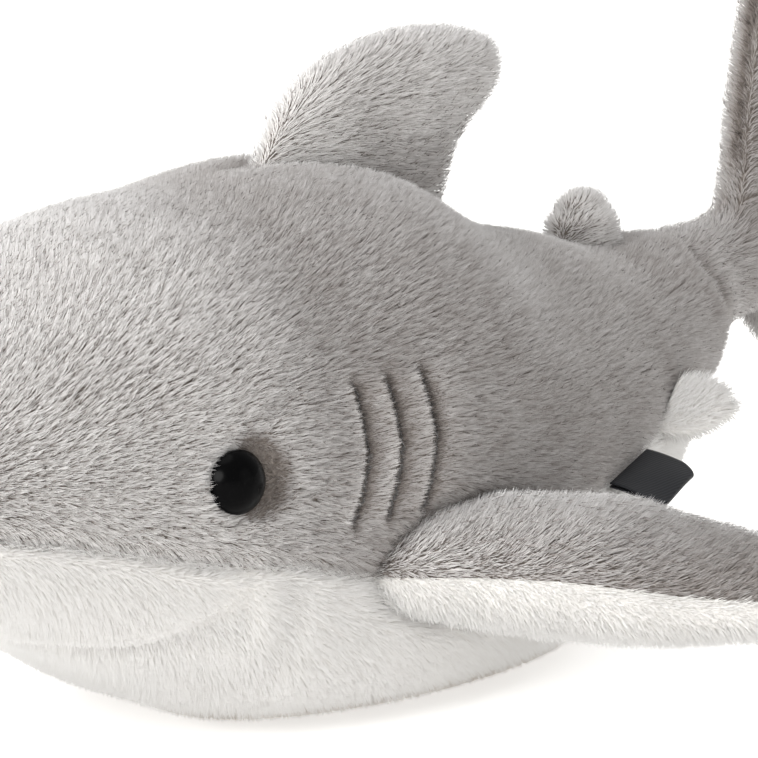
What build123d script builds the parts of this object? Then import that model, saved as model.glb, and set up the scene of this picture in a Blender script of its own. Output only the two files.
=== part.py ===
from build123d import *
import math
import os

os.makedirs("parts", exist_ok=True)

# A plush shark that lies on its belly. Millimetres.
# Nose towards -Y, tail towards +Y, the shark's left side is +X, and z = 0 is the surface it rests on.
# The origin is in the middle of the flat patch of belly that it rests on.

FABRIC = 2.0                 # backing cloth with the roots of its pile
FILL_GAP = 0.3               # between the cloth and the fill inside it
HINGE_GAP = 0.5              # between a fin's rounded root and the body's cloth

# Body cross-sections, nose to rear end: y, half width, bottom z, top z,
# height of the widest point as a share of the section, and how square the lower half is.
BODY_SECTIONS = [
    (-212, 2, 70, 74, 0.48, 2.0),
    (-207, 12, 60, 84, 0.48, 2.0),
    (-196, 23, 51, 94, 0.47, 2.1),
    (-175, 36, 42, 106, 0.45, 2.2),
    (-146, 47, 32, 117, 0.44, 2.3),
    (-113, 56, 18, 127, 0.42, 2.6),
    (-78, 63, 3, 133, 0.40, 3.0),
    (-38, 66, -1, 134, 0.38, 3.4),
    (2, 64, -2, 127, 0.36, 3.6),
    (42, 56, 0, 112, 0.38, 3.2),
    (77, 43, 13, 101, 0.43, 2.6),
    (107, 31, 32, 95, 0.48, 2.1),
    (122, 26, 42, 92.5, 0.49, 2.0),
    (130, 22.5, 47.5, 92, 0.50, 2.0),
    (136, 18.5, 53, 92, 0.50, 2.0),
    (140, 14, 60, 92, 0.50, 2.0),
]
UPPER_POWER = 2.1
SECTION_POINTS = 24

# The seam between the grey back and the white belly: y, z
SIDE_SEAM = [
    (-216, 72), (-190, 69.5), (-169, 66.3), (-138, 58.8), (-120, 54.3), (-93, 49.4), (-69, 43.5),
    (-38, 41), (-8, 42), (25, 47), (53, 51.5), (66, 53.5), (80, 58), (93, 63), (107, 64),
    (122, 61.5), (134, 57), (146, 50),
]

# Eyes: glossy domes on a shank, held by a washer inside the cloth
EYE_Y = -109.4
EYE_Z = 72.9
EYE_RADIUS = 7.5
EYE_HEIGHT = 5.6
EYE_RIM = 1.0
EYE_CURVE = (EYE_RADIUS ** 2 + (EYE_HEIGHT - EYE_RIM) ** 2) / (2 * (EYE_HEIGHT - EYE_RIM))
EYE_SINK = 1.3
SHANK_RADIUS = 2.0
SHANK_LENGTH = 9.0
WASHER_RADIUS = 6.5
WASHER_THICKNESS = 1.2
WASHER_DEPTH = 2.6

# Gill tucks: three stitched folds a side, each bowed towards the tail
GILL_STATIONS = [("front", -69.5), ("middle", -58.5), ("rear", -46.5)]
GILL_BOW = [(-0.5, 90), (0.5, 82), (0.0, 73.5), (-3.5, 65), (-7.5, 57.5)]
GILL_GROOVE = 1.1            # radius of the tuck's furrow
GILL_DEPTH = 0.4             # how deep its centre lies in the cloth
THREAD = 0.35
MOUTH_SLACK = 0.2
MOUTH_SPARE = 0.02           # share of the mouth thread left off at each end, so that it clears the furrow's end

# Mouth tuck: a U under the head, seen from below: x, y (left half, from the middle to the corner)
MOUTH_CURVE = [(0, -137), (14, -134.5), (26, -129), (34, -123), (43.5, -116.4), (50, -110), (53.5, -105)]
MOUTH_GROOVE = 0.9

# Tail joint: the tail's front is a round post about an upright axis, in a socket at the body's end
TAIL_Y = 138.0
TAIL_POST = 12.5
TAIL_WEDGE_DEG = 32.0
SOCKET_FLOOR = 61.4


def ring_points(half_width, bottom, top, widest, lower_power, inset=0.0):
    """Points (x, z) around one body cross-section."""
    middle = bottom + widest * (top - bottom)
    points = []
    for i in range(SECTION_POINTS):
        turn = math.pi + 2 * math.pi * i / SECTION_POINTS
        c, s = math.cos(turn), math.sin(turn)
        power = UPPER_POWER if s > 0 else lower_power
        reach = (top - middle) if s > 0 else (middle - bottom)
        x = (half_width - inset) * math.copysign(abs(c) ** (2 / power), c)
        z = middle + (reach - inset) * math.copysign(abs(s) ** (2 / power), s)
        points.append((x, z))
    return points


def body_stations():
    """Where the body is given a cross-section: close together at both ends."""
    stations = [-212, -210.5, -207, -202, -196, -189, -182, -175, -166, -156, -146, -135, -124]
    stations += list(range(-113, 120, 12))
    return stations + [122, 127, 131, 134, 137, 140]


def body_section(y):
    """The body's dimensions at one station: a smooth curve through BODY_SECTIONS that never overshoots."""
    rows = BODY_SECTIONS
    gaps = [rows[i + 1][0] - rows[i][0] for i in range(len(rows) - 1)]
    i = max(k for k in range(len(gaps)) if rows[k][0] <= y or k == 0)
    t = (y - rows[i][0]) / gaps[i]
    values = []
    for column in range(1, 6):
        rises = [(rows[k + 1][column] - rows[k][column]) / gaps[k] for k in range(len(gaps))]
        slopes = [rises[0]]
        for k in range(1, len(gaps)):
            before, after = rises[k - 1], rises[k]
            level = before * after <= 0
            slopes.append(0.0 if level else 2 * before * after / (before + after))
        slopes.append(rises[-1])
        start, end = rows[i][column], rows[i + 1][column]
        curve = start * (2 * t ** 3 - 3 * t ** 2 + 1) + end * (3 * t ** 2 - 2 * t ** 3)
        curve += gaps[i] * (slopes[i] * (t ** 3 - 2 * t ** 2 + t) + slopes[i + 1] * (t ** 3 - t ** 2))
        values.append(curve)
    return values


def body_solid(inset):
    """The body's outer shape, or the space inside its cloth."""
    with BuildPart() as solid:
        for y in body_stations():
            half_width, bottom, top, widest, power = body_section(y)
            if half_width <= inset * 2.5:
                continue
            y_here = y + 1.5 * inset if y < -200 else y
            with BuildSketch(Plane(origin=(0, y_here, 0), x_dir=(1, 0, 0), z_dir=(0, -1, 0))):
                with BuildLine():
                    Spline(*ring_points(half_width, bottom, top, widest, power, inset), periodic=True)
                make_face()
        loft(ruled=True)
    return solid.part


def fin_solid(sections, inset=0.0):
    """A fin lofted through ovals. Each section: centre, chord direction, half chord, half thickness, thickness way."""
    kept = sections if inset == 0 else sections[:-1]
    with BuildPart() as solid:
        for centre, chord, half_chord, half_thick, thick_way in kept:
            normal = Vector(*chord).cross(Vector(*thick_way))
            with BuildSketch(Plane(origin=centre, x_dir=chord, z_dir=normal)):
                Ellipse(half_chord - inset, max(half_thick - inset, 0.7))
        loft()
    return solid.part


def between(front, rear, half_thick):
    """A section of an upright fin on the centre plane, from its front edge to its rear edge (y, z)."""
    chord = (0, rear[0] - front[0], rear[1] - front[1])
    centre = (0, (front[0] + rear[0]) / 2, (front[1] + rear[1]) / 2)
    half_chord = math.hypot(chord[1], chord[2]) / 2
    return (centre, chord, half_chord, half_thick, (1, 0, 0))


def root_keep(origin, along, up, radius, length=140):
    """What a fin may fill: a round root about its hinge line, and everything beyond that line."""
    with BuildPart(Plane(origin=origin, x_dir=along, z_dir=up)) as keep:
        Cylinder(radius, length, rotation=(0, 90, 0))
        Box(length, 160, 160, align=(Align.CENTER, Align.CENTER, Align.MIN))
    return keep.part


def fin_parts(sections, keep):
    """The cloth shell and the fill of one fin."""
    with BuildPart() as shell:
        add(fin_solid(sections))
        add(keep, mode=Mode.INTERSECT)
        add(fin_solid(sections, FABRIC), mode=Mode.SUBTRACT)
    with BuildPart() as fill:
        add(fin_solid(sections, FABRIC + FILL_GAP))
        add(keep, mode=Mode.INTERSECT)
    return shell.part, fill.part


def finish(builder, name):
    """Label one piece and write it."""
    builder.part.label = name
    export_step(builder.part, "parts/" + name + ".step")
    size = builder.part.bounding_box().size
    print(name, len(builder.part.solids()), "solid", round(builder.part.volume), "mm3", round(size.X), round(size.Y),
          round(size.Z))


# ---------------------------------------------------------------- body
outer = body_solid(0.0)
inner = body_solid(FABRIC)


def side_point(y, z):
    """The point on the body's left side at this station and height, and the outward normal there."""
    hits = outer.find_intersection_points(Axis((0, y, z), (1, 0, 0)))
    return max(hits, key=lambda hit: hit[0].X)


def bottom_point(x, y):
    """The lowest point of the body at this place."""
    hits = outer.find_intersection_points(Axis((x, y, 60), (0, 0, 1)))
    return min(hits, key=lambda hit: hit[0].Z)[0]


def top_height(y):
    """Height of the back on the centre line."""
    hits = outer.find_intersection_points(Axis((0, y, 60), (0, 0, 1)))
    return max(hit[0].Z for hit in hits)


with BuildPart() as under_seam:
    with BuildSketch(Plane.YZ):
        with BuildLine():
            seam_line = Spline(*SIDE_SEAM)
            Polyline(seam_line @ 1, (SIDE_SEAM[-1][0], -20), (SIDE_SEAM[0][0], -20), seam_line @ 0)
        make_face()
    extrude(amount=100, both=True)

with BuildPart() as socket:
    with BuildSketch(Plane.XY.offset(SOCKET_FLOOR)):
        far = 45.0
        drop = math.tan(math.radians(TAIL_WEDGE_DEG)) * far
        with BuildLine():
            Polyline((0, TAIL_Y), (far, TAIL_Y - drop), (far, TAIL_Y + 80), (-far, TAIL_Y + 80),
                     (-far, TAIL_Y - drop), close=True)
        make_face()
        with Locations((0, TAIL_Y)):
            Circle(TAIL_POST + HINGE_GAP)
    extrude(amount=80)

# Gill tucks and mouth tuck as paths on the cloth
gill_paths = []
for gill_name, station in GILL_STATIONS:
    spots = [side_point(station + shift, height) for shift, height in GILL_BOW]
    groove_points = [spot[0] - spot[1].normalized() * GILL_DEPTH for spot in spots]
    thread_depth = GILL_DEPTH + GILL_GROOVE - THREAD - 0.05
    thread_points = [spot[0] - spot[1].normalized() * thread_depth for spot in spots]
    gill_paths.append((gill_name, groove_points, thread_points))


def mouth_path(depth):
    """The mouth tuck's line, this far inside the cloth."""
    left = [bottom_point(x, y) + Vector(0, 0, depth) for x, y in MOUTH_CURVE]
    return [Vector(-p.X, p.Y, p.Z) for p in reversed(left[1:])] + left


def cord_along(points, radius, spare=0.0):
    """A round thread, or a groove's cutter, through the points, less a share of its length at each end."""
    with BuildPart() as cord:
        with BuildLine() as route:
            Spline(*points)
        path = route.edge().trim(spare, 1 - spare) if spare else route.edge()
        with BuildSketch(Plane(origin=path @ 0, z_dir=path % 0)):
            Circle(radius)
        sweep(path=path)
    return cord.part


gill_grooves = [cord_along(points, GILL_GROOVE) for gill_name, points, thread_points in gill_paths]
mouth_groove = cord_along(mouth_path(0.3), MOUTH_GROOVE)

# The left eye's own frame: its Z axis points out of the head
eye_spot, eye_out = side_point(EYE_Y, EYE_Z)
eye_plane = Plane(origin=eye_spot - eye_out.normalized() * EYE_SINK, z_dir=eye_out)

with BuildPart() as eye_room:
    with Locations(eye_plane):
        Cylinder(EYE_RADIUS + 0.1, 12, align=(Align.CENTER, Align.CENTER, Align.MIN))
        Cylinder(SHANK_RADIUS + 0.1, 2 * SHANK_LENGTH + 1)
with BuildPart() as washer_room:
    with Locations(eye_plane.offset(-WASHER_DEPTH)):
        Cylinder(WASHER_RADIUS + 0.2, WASHER_THICKNESS + 0.4)

with BuildPart() as eye_left:
    with Locations(eye_plane):
        Cylinder(EYE_RADIUS, EYE_HEIGHT, align=(Align.CENTER, Align.CENTER, Align.MIN))
    with Locations(eye_plane.offset(EYE_HEIGHT - EYE_CURVE)):
        Sphere(EYE_CURVE, mode=Mode.INTERSECT)
    with Locations(eye_plane):
        Cylinder(SHANK_RADIUS, SHANK_LENGTH, align=(Align.CENTER, Align.CENTER, Align.MAX))
with BuildPart() as eye_washer_left:
    with Locations(eye_plane.offset(-WASHER_DEPTH)):
        Cylinder(WASHER_RADIUS, WASHER_THICKNESS)
        Cylinder(SHANK_RADIUS + 0.05, WASHER_THICKNESS * 2, mode=Mode.SUBTRACT)
with BuildPart() as eye_right:
    mirror(eye_left.part, about=Plane.YZ)
with BuildPart() as eye_washer_right:
    mirror(eye_washer_left.part, about=Plane.YZ)

with BuildPart() as cloth:
    add(outer)
    add(inner, mode=Mode.SUBTRACT)
    add(socket.part, mode=Mode.SUBTRACT)
    Box(400, 500, 40, align=(Align.CENTER, Align.CENTER, Align.MAX), mode=Mode.SUBTRACT)

with BuildPart() as back_panel_left:
    add(cloth.part)
    add(under_seam.part, mode=Mode.SUBTRACT)
    split(bisect_by=Plane.YZ, keep=Keep.TOP)
    add(eye_room.part, mode=Mode.SUBTRACT)
    for groove in gill_grooves:
        add(groove, mode=Mode.SUBTRACT)
with BuildPart() as back_panel_right:
    mirror(back_panel_left.part, about=Plane.YZ)
with BuildPart() as half_belly:
    add(cloth.part)
    add(under_seam.part, mode=Mode.INTERSECT)
    split(bisect_by=Plane.YZ, keep=Keep.TOP)
with BuildPart() as belly_panel:
    add(half_belly.part)
    mirror(half_belly.part, about=Plane.YZ)
    add(mouth_groove, mode=Mode.SUBTRACT)
with BuildPart() as half_fill:
    add(body_solid(FABRIC + FILL_GAP))
    add(socket.part, mode=Mode.SUBTRACT)
    Box(400, 500, 2 * (FABRIC + FILL_GAP), mode=Mode.SUBTRACT)
    add(eye_room.part, mode=Mode.SUBTRACT)
    add(washer_room.part, mode=Mode.SUBTRACT)
    split(bisect_by=Plane.YZ, keep=Keep.TOP)
with BuildPart() as body_fill:
    add(half_fill.part)
    mirror(half_fill.part, about=Plane.YZ)

for builder, name in ((back_panel_left, "back_panel_left"), (back_panel_right, "back_panel_right"),
                      (belly_panel, "belly_panel"), (body_fill, "body_fill"),
                      (eye_left, "eye_left"), (eye_right, "eye_right"),
                      (eye_washer_left, "eye_washer_left"), (eye_washer_right, "eye_washer_right")):
    finish(builder, name)

# Threads that hold the tucks
for gill_name, groove_points, points in gill_paths:
    with BuildPart() as thread_left:
        add(cord_along(points, THREAD))
    with BuildPart() as thread_right:
        mirror(thread_left.part, about=Plane.YZ)
    finish(thread_left, "gill_thread_" + gill_name + "_left")
    finish(thread_right, "gill_thread_" + gill_name + "_right")
with BuildPart() as mouth_thread:
    add(cord_along(mouth_path(0.3 + MOUTH_GROOVE - THREAD - MOUTH_SLACK), THREAD, MOUTH_SPARE))
finish(mouth_thread, "mouth_thread")

# ---------------------------------------------------------------- dorsal fin
DORSAL = [
    between((-44, 126), (28, 110), 6.0),
    between((-39, 133), (30, 115), 6.5),
    between((-30, 146), (33, 126), 9.0),
    between((-14, 154), (38.5, 132), 9.5),
    between((6, 158), (46, 137), 9.0),
    between((24, 158.5), (51, 142), 7.5),
    between((38, 156.5), (52.5, 147), 5.0),
    between((45, 154), (51.5, 150), 2.5),
]
DORSAL_AXIS_FRONT = (0, -44, 142.3)      # the hinge line runs over the back, front to rear
DORSAL_AXIS_REAR = (0, 32, 124.8)
along = Vector(*DORSAL_AXIS_REAR) - Vector(*DORSAL_AXIS_FRONT)
mid = (Vector(*DORSAL_AXIS_REAR) + Vector(*DORSAL_AXIS_FRONT)) * 0.5
up = Vector(1, 0, 0).cross(along).normalized()
with BuildPart() as dorsal_keep:
    with BuildSketch(Plane.YZ):
        with BuildLine():
            back_line = Spline(*[(y, top_height(y) + HINGE_GAP) for y in range(-44, 33, 4)])
            Polyline(back_line @ 1, (DORSAL_AXIS_REAR[1], DORSAL_AXIS_REAR[2]),
                     (DORSAL_AXIS_FRONT[1], DORSAL_AXIS_FRONT[2]), back_line @ 0)
        make_face()
    revolve(axis=Axis(DORSAL_AXIS_FRONT, along))
    with Locations(Plane(origin=mid, x_dir=along, z_dir=up)):
        Box(140, 100, 120, align=(Align.CENTER, Align.CENTER, Align.MIN))
dorsal_shell, dorsal_stuff = fin_parts(DORSAL, dorsal_keep.part)
with BuildPart() as dorsal_panel_left:
    add(dorsal_shell)
    split(bisect_by=Plane.YZ, keep=Keep.TOP)
with BuildPart() as dorsal_panel_right:
    mirror(dorsal_panel_left.part, about=Plane.YZ)
with BuildPart() as dorsal_fill:
    add(dorsal_stuff)
finish(dorsal_panel_left, "dorsal_panel_left")
finish(dorsal_panel_right, "dorsal_panel_right")
finish(dorsal_fill, "dorsal_fill")
print("dorsal hinge", mid, along.normalized())

# ---------------------------------------------------------------- second dorsal fin
SECOND = [
    between((80, 95), (104, 91), 3.0),
    between((81, 99.5), (103.5, 96), 4.0),
    between((82, 103), (103, 100.5), 4.5),
    between((85, 105.5), (100.5, 104), 3.5),
    between((89, 106.8), (96, 106.2), 1.8),
]
SECOND_ROOT = 2.4
second_y = 92.0
second_slope = (top_height(second_y + 8) - top_height(second_y - 8)) / 16
second_along = Vector(0, 1, second_slope).normalized()
second_up = Vector(1, 0, 0).cross(second_along)
second_origin = Vector(0, second_y, top_height(second_y)) + second_up * (SECOND_ROOT + HINGE_GAP)
second_keep = root_keep(second_origin, second_along, second_up, SECOND_ROOT, 40)
second_shell, second_stuff = fin_parts(SECOND, second_keep)
with BuildPart() as rear_fin_panel_left:
    add(second_shell)
    split(bisect_by=Plane.YZ, keep=Keep.TOP)
with BuildPart() as rear_fin_panel_right:
    mirror(rear_fin_panel_left.part, about=Plane.YZ)
with BuildPart() as rear_fin_fill:
    add(second_stuff)
finish(rear_fin_panel_left, "rear_fin_panel_left")
finish(rear_fin_panel_right, "rear_fin_panel_right")
finish(rear_fin_fill, "rear_fin_fill")
print("rear fin hinge", second_origin, second_along)

# ---------------------------------------------------------------- pectoral fins
UPRIGHT = (0, 0, 1)
PECTORAL = [
    ((62, -39, 42.5), (0, 1, 0), 28.0, 12.0, UPRIGHT),
    ((76.5, -27, 41), (-3, 49.5, 0), 25.5, 16.0, UPRIGHT),
    ((90, -16, 39.5), (-8, 53.5, 0), 27.0, 17.2, UPRIGHT),
    ((103.5, -5.5, 38), (-7, 53, 0), 27.0, 15.5, UPRIGHT),
    ((116.5, 5, 36.5), (-5, 48, 0), 24.5, 13.0, UPRIGHT),
    ((129, 12.5, 35), (-4, 41.5, 0), 21.0, 10.5, UPRIGHT),
    ((139, 19.5, 34), (-4, 29, 0), 15.0, 7.5, UPRIGHT),
    ((146, 25, 33), (-2.5, 14, 0), 7.0, 3.5, UPRIGHT),
]
PECTORAL_ROOT = 9.0
pectoral_origin = Vector(max(side_point(y, 42)[0].X for y in range(-66, -10, 4)) + PECTORAL_ROOT + HINGE_GAP, -39, 42)
pectoral_keep = root_keep(pectoral_origin, (0, 1, 0), (1, 0, 0), PECTORAL_ROOT)
pectoral_shell, pectoral_stuff = fin_parts(PECTORAL, pectoral_keep)
with BuildPart() as over_edge:
    with BuildSketch(Plane.XZ.offset(-150)):
        with BuildLine():
            edge = Spline((40, 43), *[(s[0][0], s[0][2]) for s in PECTORAL[1:]], (165, 30.5))
            Polyline(edge @ 1, (165, 120), (40, 120), edge @ 0)
        make_face()
    extrude(amount=300)
with BuildPart() as pectoral_left_upper:
    add(pectoral_shell)
    add(over_edge.part, mode=Mode.INTERSECT)
with BuildPart() as pectoral_left_lower:
    add(pectoral_shell)
    add(over_edge.part, mode=Mode.SUBTRACT)
with BuildPart() as pectoral_left_fill:
    add(pectoral_stuff)
with BuildPart() as pectoral_right_upper:
    mirror(pectoral_left_upper.part, about=Plane.YZ)
with BuildPart() as pectoral_right_lower:
    mirror(pectoral_left_lower.part, about=Plane.YZ)
with BuildPart() as pectoral_right_fill:
    mirror(pectoral_left_fill.part, about=Plane.YZ)
for builder, name in ((pectoral_left_upper, "pectoral_left_upper"), (pectoral_left_lower, "pectoral_left_lower"),
                      (pectoral_left_fill, "pectoral_left_fill"), (pectoral_right_upper, "pectoral_right_upper"),
                      (pectoral_right_lower, "pectoral_right_lower"), (pectoral_right_fill, "pectoral_right_fill")):
    finish(builder, name)
print("pectoral hinge", pectoral_origin)

# ---------------------------------------------------------------- pelvic fins
PELVIC_ALONG = Vector(-0.30, 0.84, 0.44).normalized()    # along the sewn root
PELVIC_SPAN = Vector(0.5, 0.85, 0.1).normalized()        # from the root to the tip
PELVIC_ROOT = 2.6
pelvic_spot, pelvic_out = side_point(79, 57)
pelvic_up = (pelvic_out - PELVIC_ALONG * pelvic_out.dot(PELVIC_ALONG)).normalized()
pelvic_origin = pelvic_spot + pelvic_up * (PELVIC_ROOT + HINGE_GAP + 0.5)
pelvic_thick = PELVIC_ALONG.cross(PELVIC_SPAN).normalized()


def pelvic_section(reach, half_chord, half_thick):
    centre = pelvic_origin + PELVIC_SPAN * reach
    return (centre, PELVIC_ALONG, half_chord, half_thick, pelvic_thick)


PELVIC = [pelvic_section(-6, 12.5, 2.8), pelvic_section(0.5, 12.5, 3.8), pelvic_section(5, 11.5, 4.8),
          pelvic_section(9.5, 8.5, 4.2), pelvic_section(12.5, 4.2, 2.4)]
pelvic_keep = root_keep(pelvic_origin, PELVIC_ALONG, pelvic_up, PELVIC_ROOT, 60)
pelvic_shell, pelvic_stuff = fin_parts(PELVIC, pelvic_keep)
pelvic_middle = Plane(origin=pelvic_origin, z_dir=pelvic_thick)
if pelvic_middle.z_dir.Z < 0:
    pelvic_middle = Plane(origin=pelvic_origin, z_dir=pelvic_thick * -1)
with BuildPart() as pelvic_left_upper:
    add(pelvic_shell)
    split(bisect_by=pelvic_middle, keep=Keep.TOP)
with BuildPart() as pelvic_left_lower:
    add(pelvic_shell)
    split(bisect_by=pelvic_middle, keep=Keep.BOTTOM)
with BuildPart() as pelvic_left_fill:
    add(pelvic_stuff)
with BuildPart() as pelvic_right_upper:
    mirror(pelvic_left_upper.part, about=Plane.YZ)
with BuildPart() as pelvic_right_lower:
    mirror(pelvic_left_lower.part, about=Plane.YZ)
with BuildPart() as pelvic_right_fill:
    mirror(pelvic_left_fill.part, about=Plane.YZ)
for builder, name in ((pelvic_left_upper, "pelvic_left_upper"), (pelvic_left_lower, "pelvic_left_lower"),
                      (pelvic_left_fill, "pelvic_left_fill"), (pelvic_right_upper, "pelvic_right_upper"),
                      (pelvic_right_lower, "pelvic_right_lower"), (pelvic_right_fill, "pelvic_right_fill")):
    finish(builder, name)
print("pelvic hinge", pelvic_origin, PELVIC_ALONG, pelvic_up)

# ---------------------------------------------------------------- tail
TAIL_TUBE = [(122, 12.5, 62, 91.5), (138, 12.5, 62, 92), (150, 12.5, 63, 93), (162, 12.5, 64.5, 95), (176, 11.5, 66, 98)]
TAIL_UPPER_LOBE = [
    between((150, 82), (190, 76), 10.5),
    between((159, 101), (192, 98), 10.0),
    between((162, 122), (193, 120), 9.0),
    between((166, 146), (194, 142), 8.0),
    between((173, 165), (196, 160), 6.5),
    between((182, 178), (198, 172), 4.5),
    between((190, 184), (199, 180), 2.0),
]
TAIL_LOWER_LOBE = [
    between((156, 80), (190, 84), 10.5),
    between((170, 62), (198, 78), 9.0),
    between((182, 50), (204, 66), 7.5),
    between((194, 40), (209, 52), 5.5),
    between((203, 34), (212, 42), 3.0),
]


def tail_solid(inset):
    """The tail's tube with both lobes."""
    with BuildPart() as tube:
        for y, half_width, bottom, top in TAIL_TUBE:
            with BuildSketch(Plane(origin=(0, y, (bottom + top) / 2), x_dir=(1, 0, 0), z_dir=(0, -1, 0))):
                Ellipse(half_width - inset, (top - bottom) / 2 - inset)
        loft()
    with BuildPart() as whole:
        add(tube.part)
        add(fin_solid(TAIL_UPPER_LOBE, inset))
        add(fin_solid(TAIL_LOWER_LOBE, inset))
    return whole.part


with BuildPart() as tail_keep:
    with Locations((0, TAIL_Y, 0)):
        Cylinder(TAIL_POST, 400)
        Box(100, 200, 400, align=(Align.CENTER, Align.MIN, Align.CENTER))
with BuildPart() as tail_shell:
    add(tail_solid(0.0))
    add(tail_keep.part, mode=Mode.INTERSECT)
    add(tail_solid(FABRIC), mode=Mode.SUBTRACT)
with BuildPart() as tail_panel_left:
    add(tail_shell.part)
    split(bisect_by=Plane.YZ, keep=Keep.TOP)
with BuildPart() as tail_panel_right:
    mirror(tail_panel_left.part, about=Plane.YZ)
with BuildPart() as tail_fill:
    add(tail_solid(FABRIC + FILL_GAP))
    add(tail_keep.part, mode=Mode.INTERSECT)
for builder, name in ((tail_panel_left, "tail_panel_left"), (tail_panel_right, "tail_panel_right"),
                      (tail_fill, "tail_fill")):
    finish(builder, name)

# ---------------------------------------------------------------- woven label, a folded loop in the left seam
LABEL_FRONT = (24.6, 47.5)        # y, z of the two ends of the sewn edge
LABEL_REAR = (53.5, 51.5)
LABEL_REACH = 14.0
LABEL_THICK = 1.2
label_a = side_point(*LABEL_FRONT)
label_b = side_point(*LABEL_REAR)
label_mid = side_point((LABEL_FRONT[0] + LABEL_REAR[0]) / 2, (LABEL_FRONT[1] + LABEL_REAR[1]) / 2)
label_along = (label_b[0] - label_a[0]).normalized()
label_out = (label_mid[1] - label_along * label_mid[1].dot(label_along)).normalized()
label_origin = label_mid[0] + label_out * (LABEL_THICK / 2 + HINGE_GAP)
label_way = (label_out + Vector(0, 0, -0.22)).normalized()
label_way = (label_way - label_along * label_way.dot(label_along)).normalized()
label_plane = Plane(origin=label_origin, x_dir=label_way, z_dir=label_along)
with BuildPart() as side_label:
    with BuildSketch(label_plane.offset(-13)):
        with Locations((LABEL_REACH / 2, 0)):
            SlotOverall(LABEL_REACH + LABEL_THICK, LABEL_THICK)
        with Locations((LABEL_REACH / 2 + 0.6, 0)):
            SlotOverall(LABEL_REACH - 1.2, 0.4, mode=Mode.SUBTRACT)
    extrude(amount=26)
finish(side_label, "side_label")
print("label hinge", label_origin, label_along, label_way)
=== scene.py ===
import bpy
import math
import numpy as np
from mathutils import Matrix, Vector


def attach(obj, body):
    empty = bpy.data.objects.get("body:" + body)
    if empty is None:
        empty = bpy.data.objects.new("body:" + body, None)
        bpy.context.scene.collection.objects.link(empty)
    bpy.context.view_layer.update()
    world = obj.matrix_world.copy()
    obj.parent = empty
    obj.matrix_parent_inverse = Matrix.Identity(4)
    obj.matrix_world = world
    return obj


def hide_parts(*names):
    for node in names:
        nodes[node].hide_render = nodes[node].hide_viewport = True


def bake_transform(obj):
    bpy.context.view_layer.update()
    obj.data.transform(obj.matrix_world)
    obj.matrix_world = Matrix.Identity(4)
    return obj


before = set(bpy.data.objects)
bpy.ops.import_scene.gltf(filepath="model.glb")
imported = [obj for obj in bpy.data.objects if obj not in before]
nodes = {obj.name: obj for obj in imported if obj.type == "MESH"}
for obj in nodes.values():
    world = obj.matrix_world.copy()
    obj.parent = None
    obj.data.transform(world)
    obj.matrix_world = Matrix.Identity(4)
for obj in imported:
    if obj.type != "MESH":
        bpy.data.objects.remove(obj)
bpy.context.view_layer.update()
rng = np.random.default_rng(11)
DENSITY = 1.0
MM = 0.001

# ---- shapes, in millimetres
# Station y, half width, bottom, top, where it is widest as a share of the height, and the power that
# shapes the lower half, which is squarer the higher it is
BODY_SECTIONS = np.array([
    (-212, 2, 70, 74, 0.48, 2.0),
    (-207, 12, 60, 84, 0.48, 2.0),
    (-196, 23, 51, 94, 0.47, 2.1),
    (-175, 36, 42, 106, 0.45, 2.2),
    (-146, 47, 32, 117, 0.44, 2.3),
    (-113, 56, 18, 127, 0.42, 2.6),
    (-78, 63, 3, 133, 0.40, 3.0),
    (-38, 66, -1, 134, 0.38, 3.4),
    (2, 64, -2, 127, 0.36, 3.6),
    (42, 56, 0, 112, 0.38, 3.2),
    (77, 43, 13, 101, 0.43, 2.6),
    (107, 31, 32, 95, 0.48, 2.1),
    (122, 26, 42, 92.5, 0.49, 2.0),
    (130, 22.5, 47.5, 92, 0.50, 2.0),
    (136, 18.5, 53, 92, 0.50, 2.0),
    (140, 14, 60, 92, 0.50, 2.0),
])
UPPER_POWER = 2.1
# y and z of the sewn line between the grey and the white cloth
SIDE_SEAM = np.array([
    (-216, 72), (-190, 69.5), (-169, 66.3), (-138, 58.8), (-120, 54.3), (-93, 49.4), (-69, 43.5),
    (-38, 41), (-8, 42), (25, 47), (53, 51.5), (66, 53.5), (80, 57), (93, 59), (107, 57),
    (122, 54), (134, 52), (146, 49),
])
GILL_STATIONS = (-69.5, -58.5, -46.5)
# z, and how far a gill slit bows from its station there
GILL_BOW = np.array([(57.5, -7.5), (65, -3.5), (73.5, 0.0), (82, 0.5), (90, -0.5)])
# x and y of half of the mouth tuck, seen from below
MOUTH_CURVE = np.array([
    (0, -137), (14, -134.5), (26, -129), (34, -123), (43.5, -116.4), (50, -110), (53.5, -105),
])
MOUTH_STATION = -120
MOUTH_REACH = 45
EYE_AT = np.array([56.3, -109.4, 72.9])
EYE_CLEAR = 7.2
# z and y of the ring where the tail is sewn on
TAIL_RING = np.array([(62, 143), (70.8, 134), (76, 127.5), (81, 125), (87, 122.5), (90, 126), (92, 133)])


def monotone(x, rows):
    """Smooth curves through rows (x, values...) that never overshoot."""
    x = np.clip(np.asarray(x, float), rows[0, 0], rows[-1, 0])
    gap = np.diff(rows[:, 0])
    rise = np.diff(rows[:, 1:], axis=0) / gap[:, None]
    slope = np.zeros_like(rows[:, 1:])
    slope[0] = rise[0]
    slope[-1] = rise[-1]
    before = rise[:-1]
    after = rise[1:]
    same = before * after > 0
    slope[1:-1][same] = 2 * before[same] * after[same] / (before[same] + after[same])
    i = np.clip(np.searchsorted(rows[:, 0], x, side="right") - 1, 0, len(gap) - 1)
    t = ((x - rows[i, 0]) / gap[i])[..., None]
    a = rows[i, 1:]
    b = rows[i + 1, 1:]
    g = gap[i][..., None]
    curve = a * (2 * t ** 3 - 3 * t ** 2 + 1) + b * (3 * t ** 2 - 2 * t ** 3)
    return curve + g * (slope[i] * (t ** 3 - 2 * t ** 2 + t) + slope[i + 1] * (t ** 3 - t ** 2))


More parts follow.
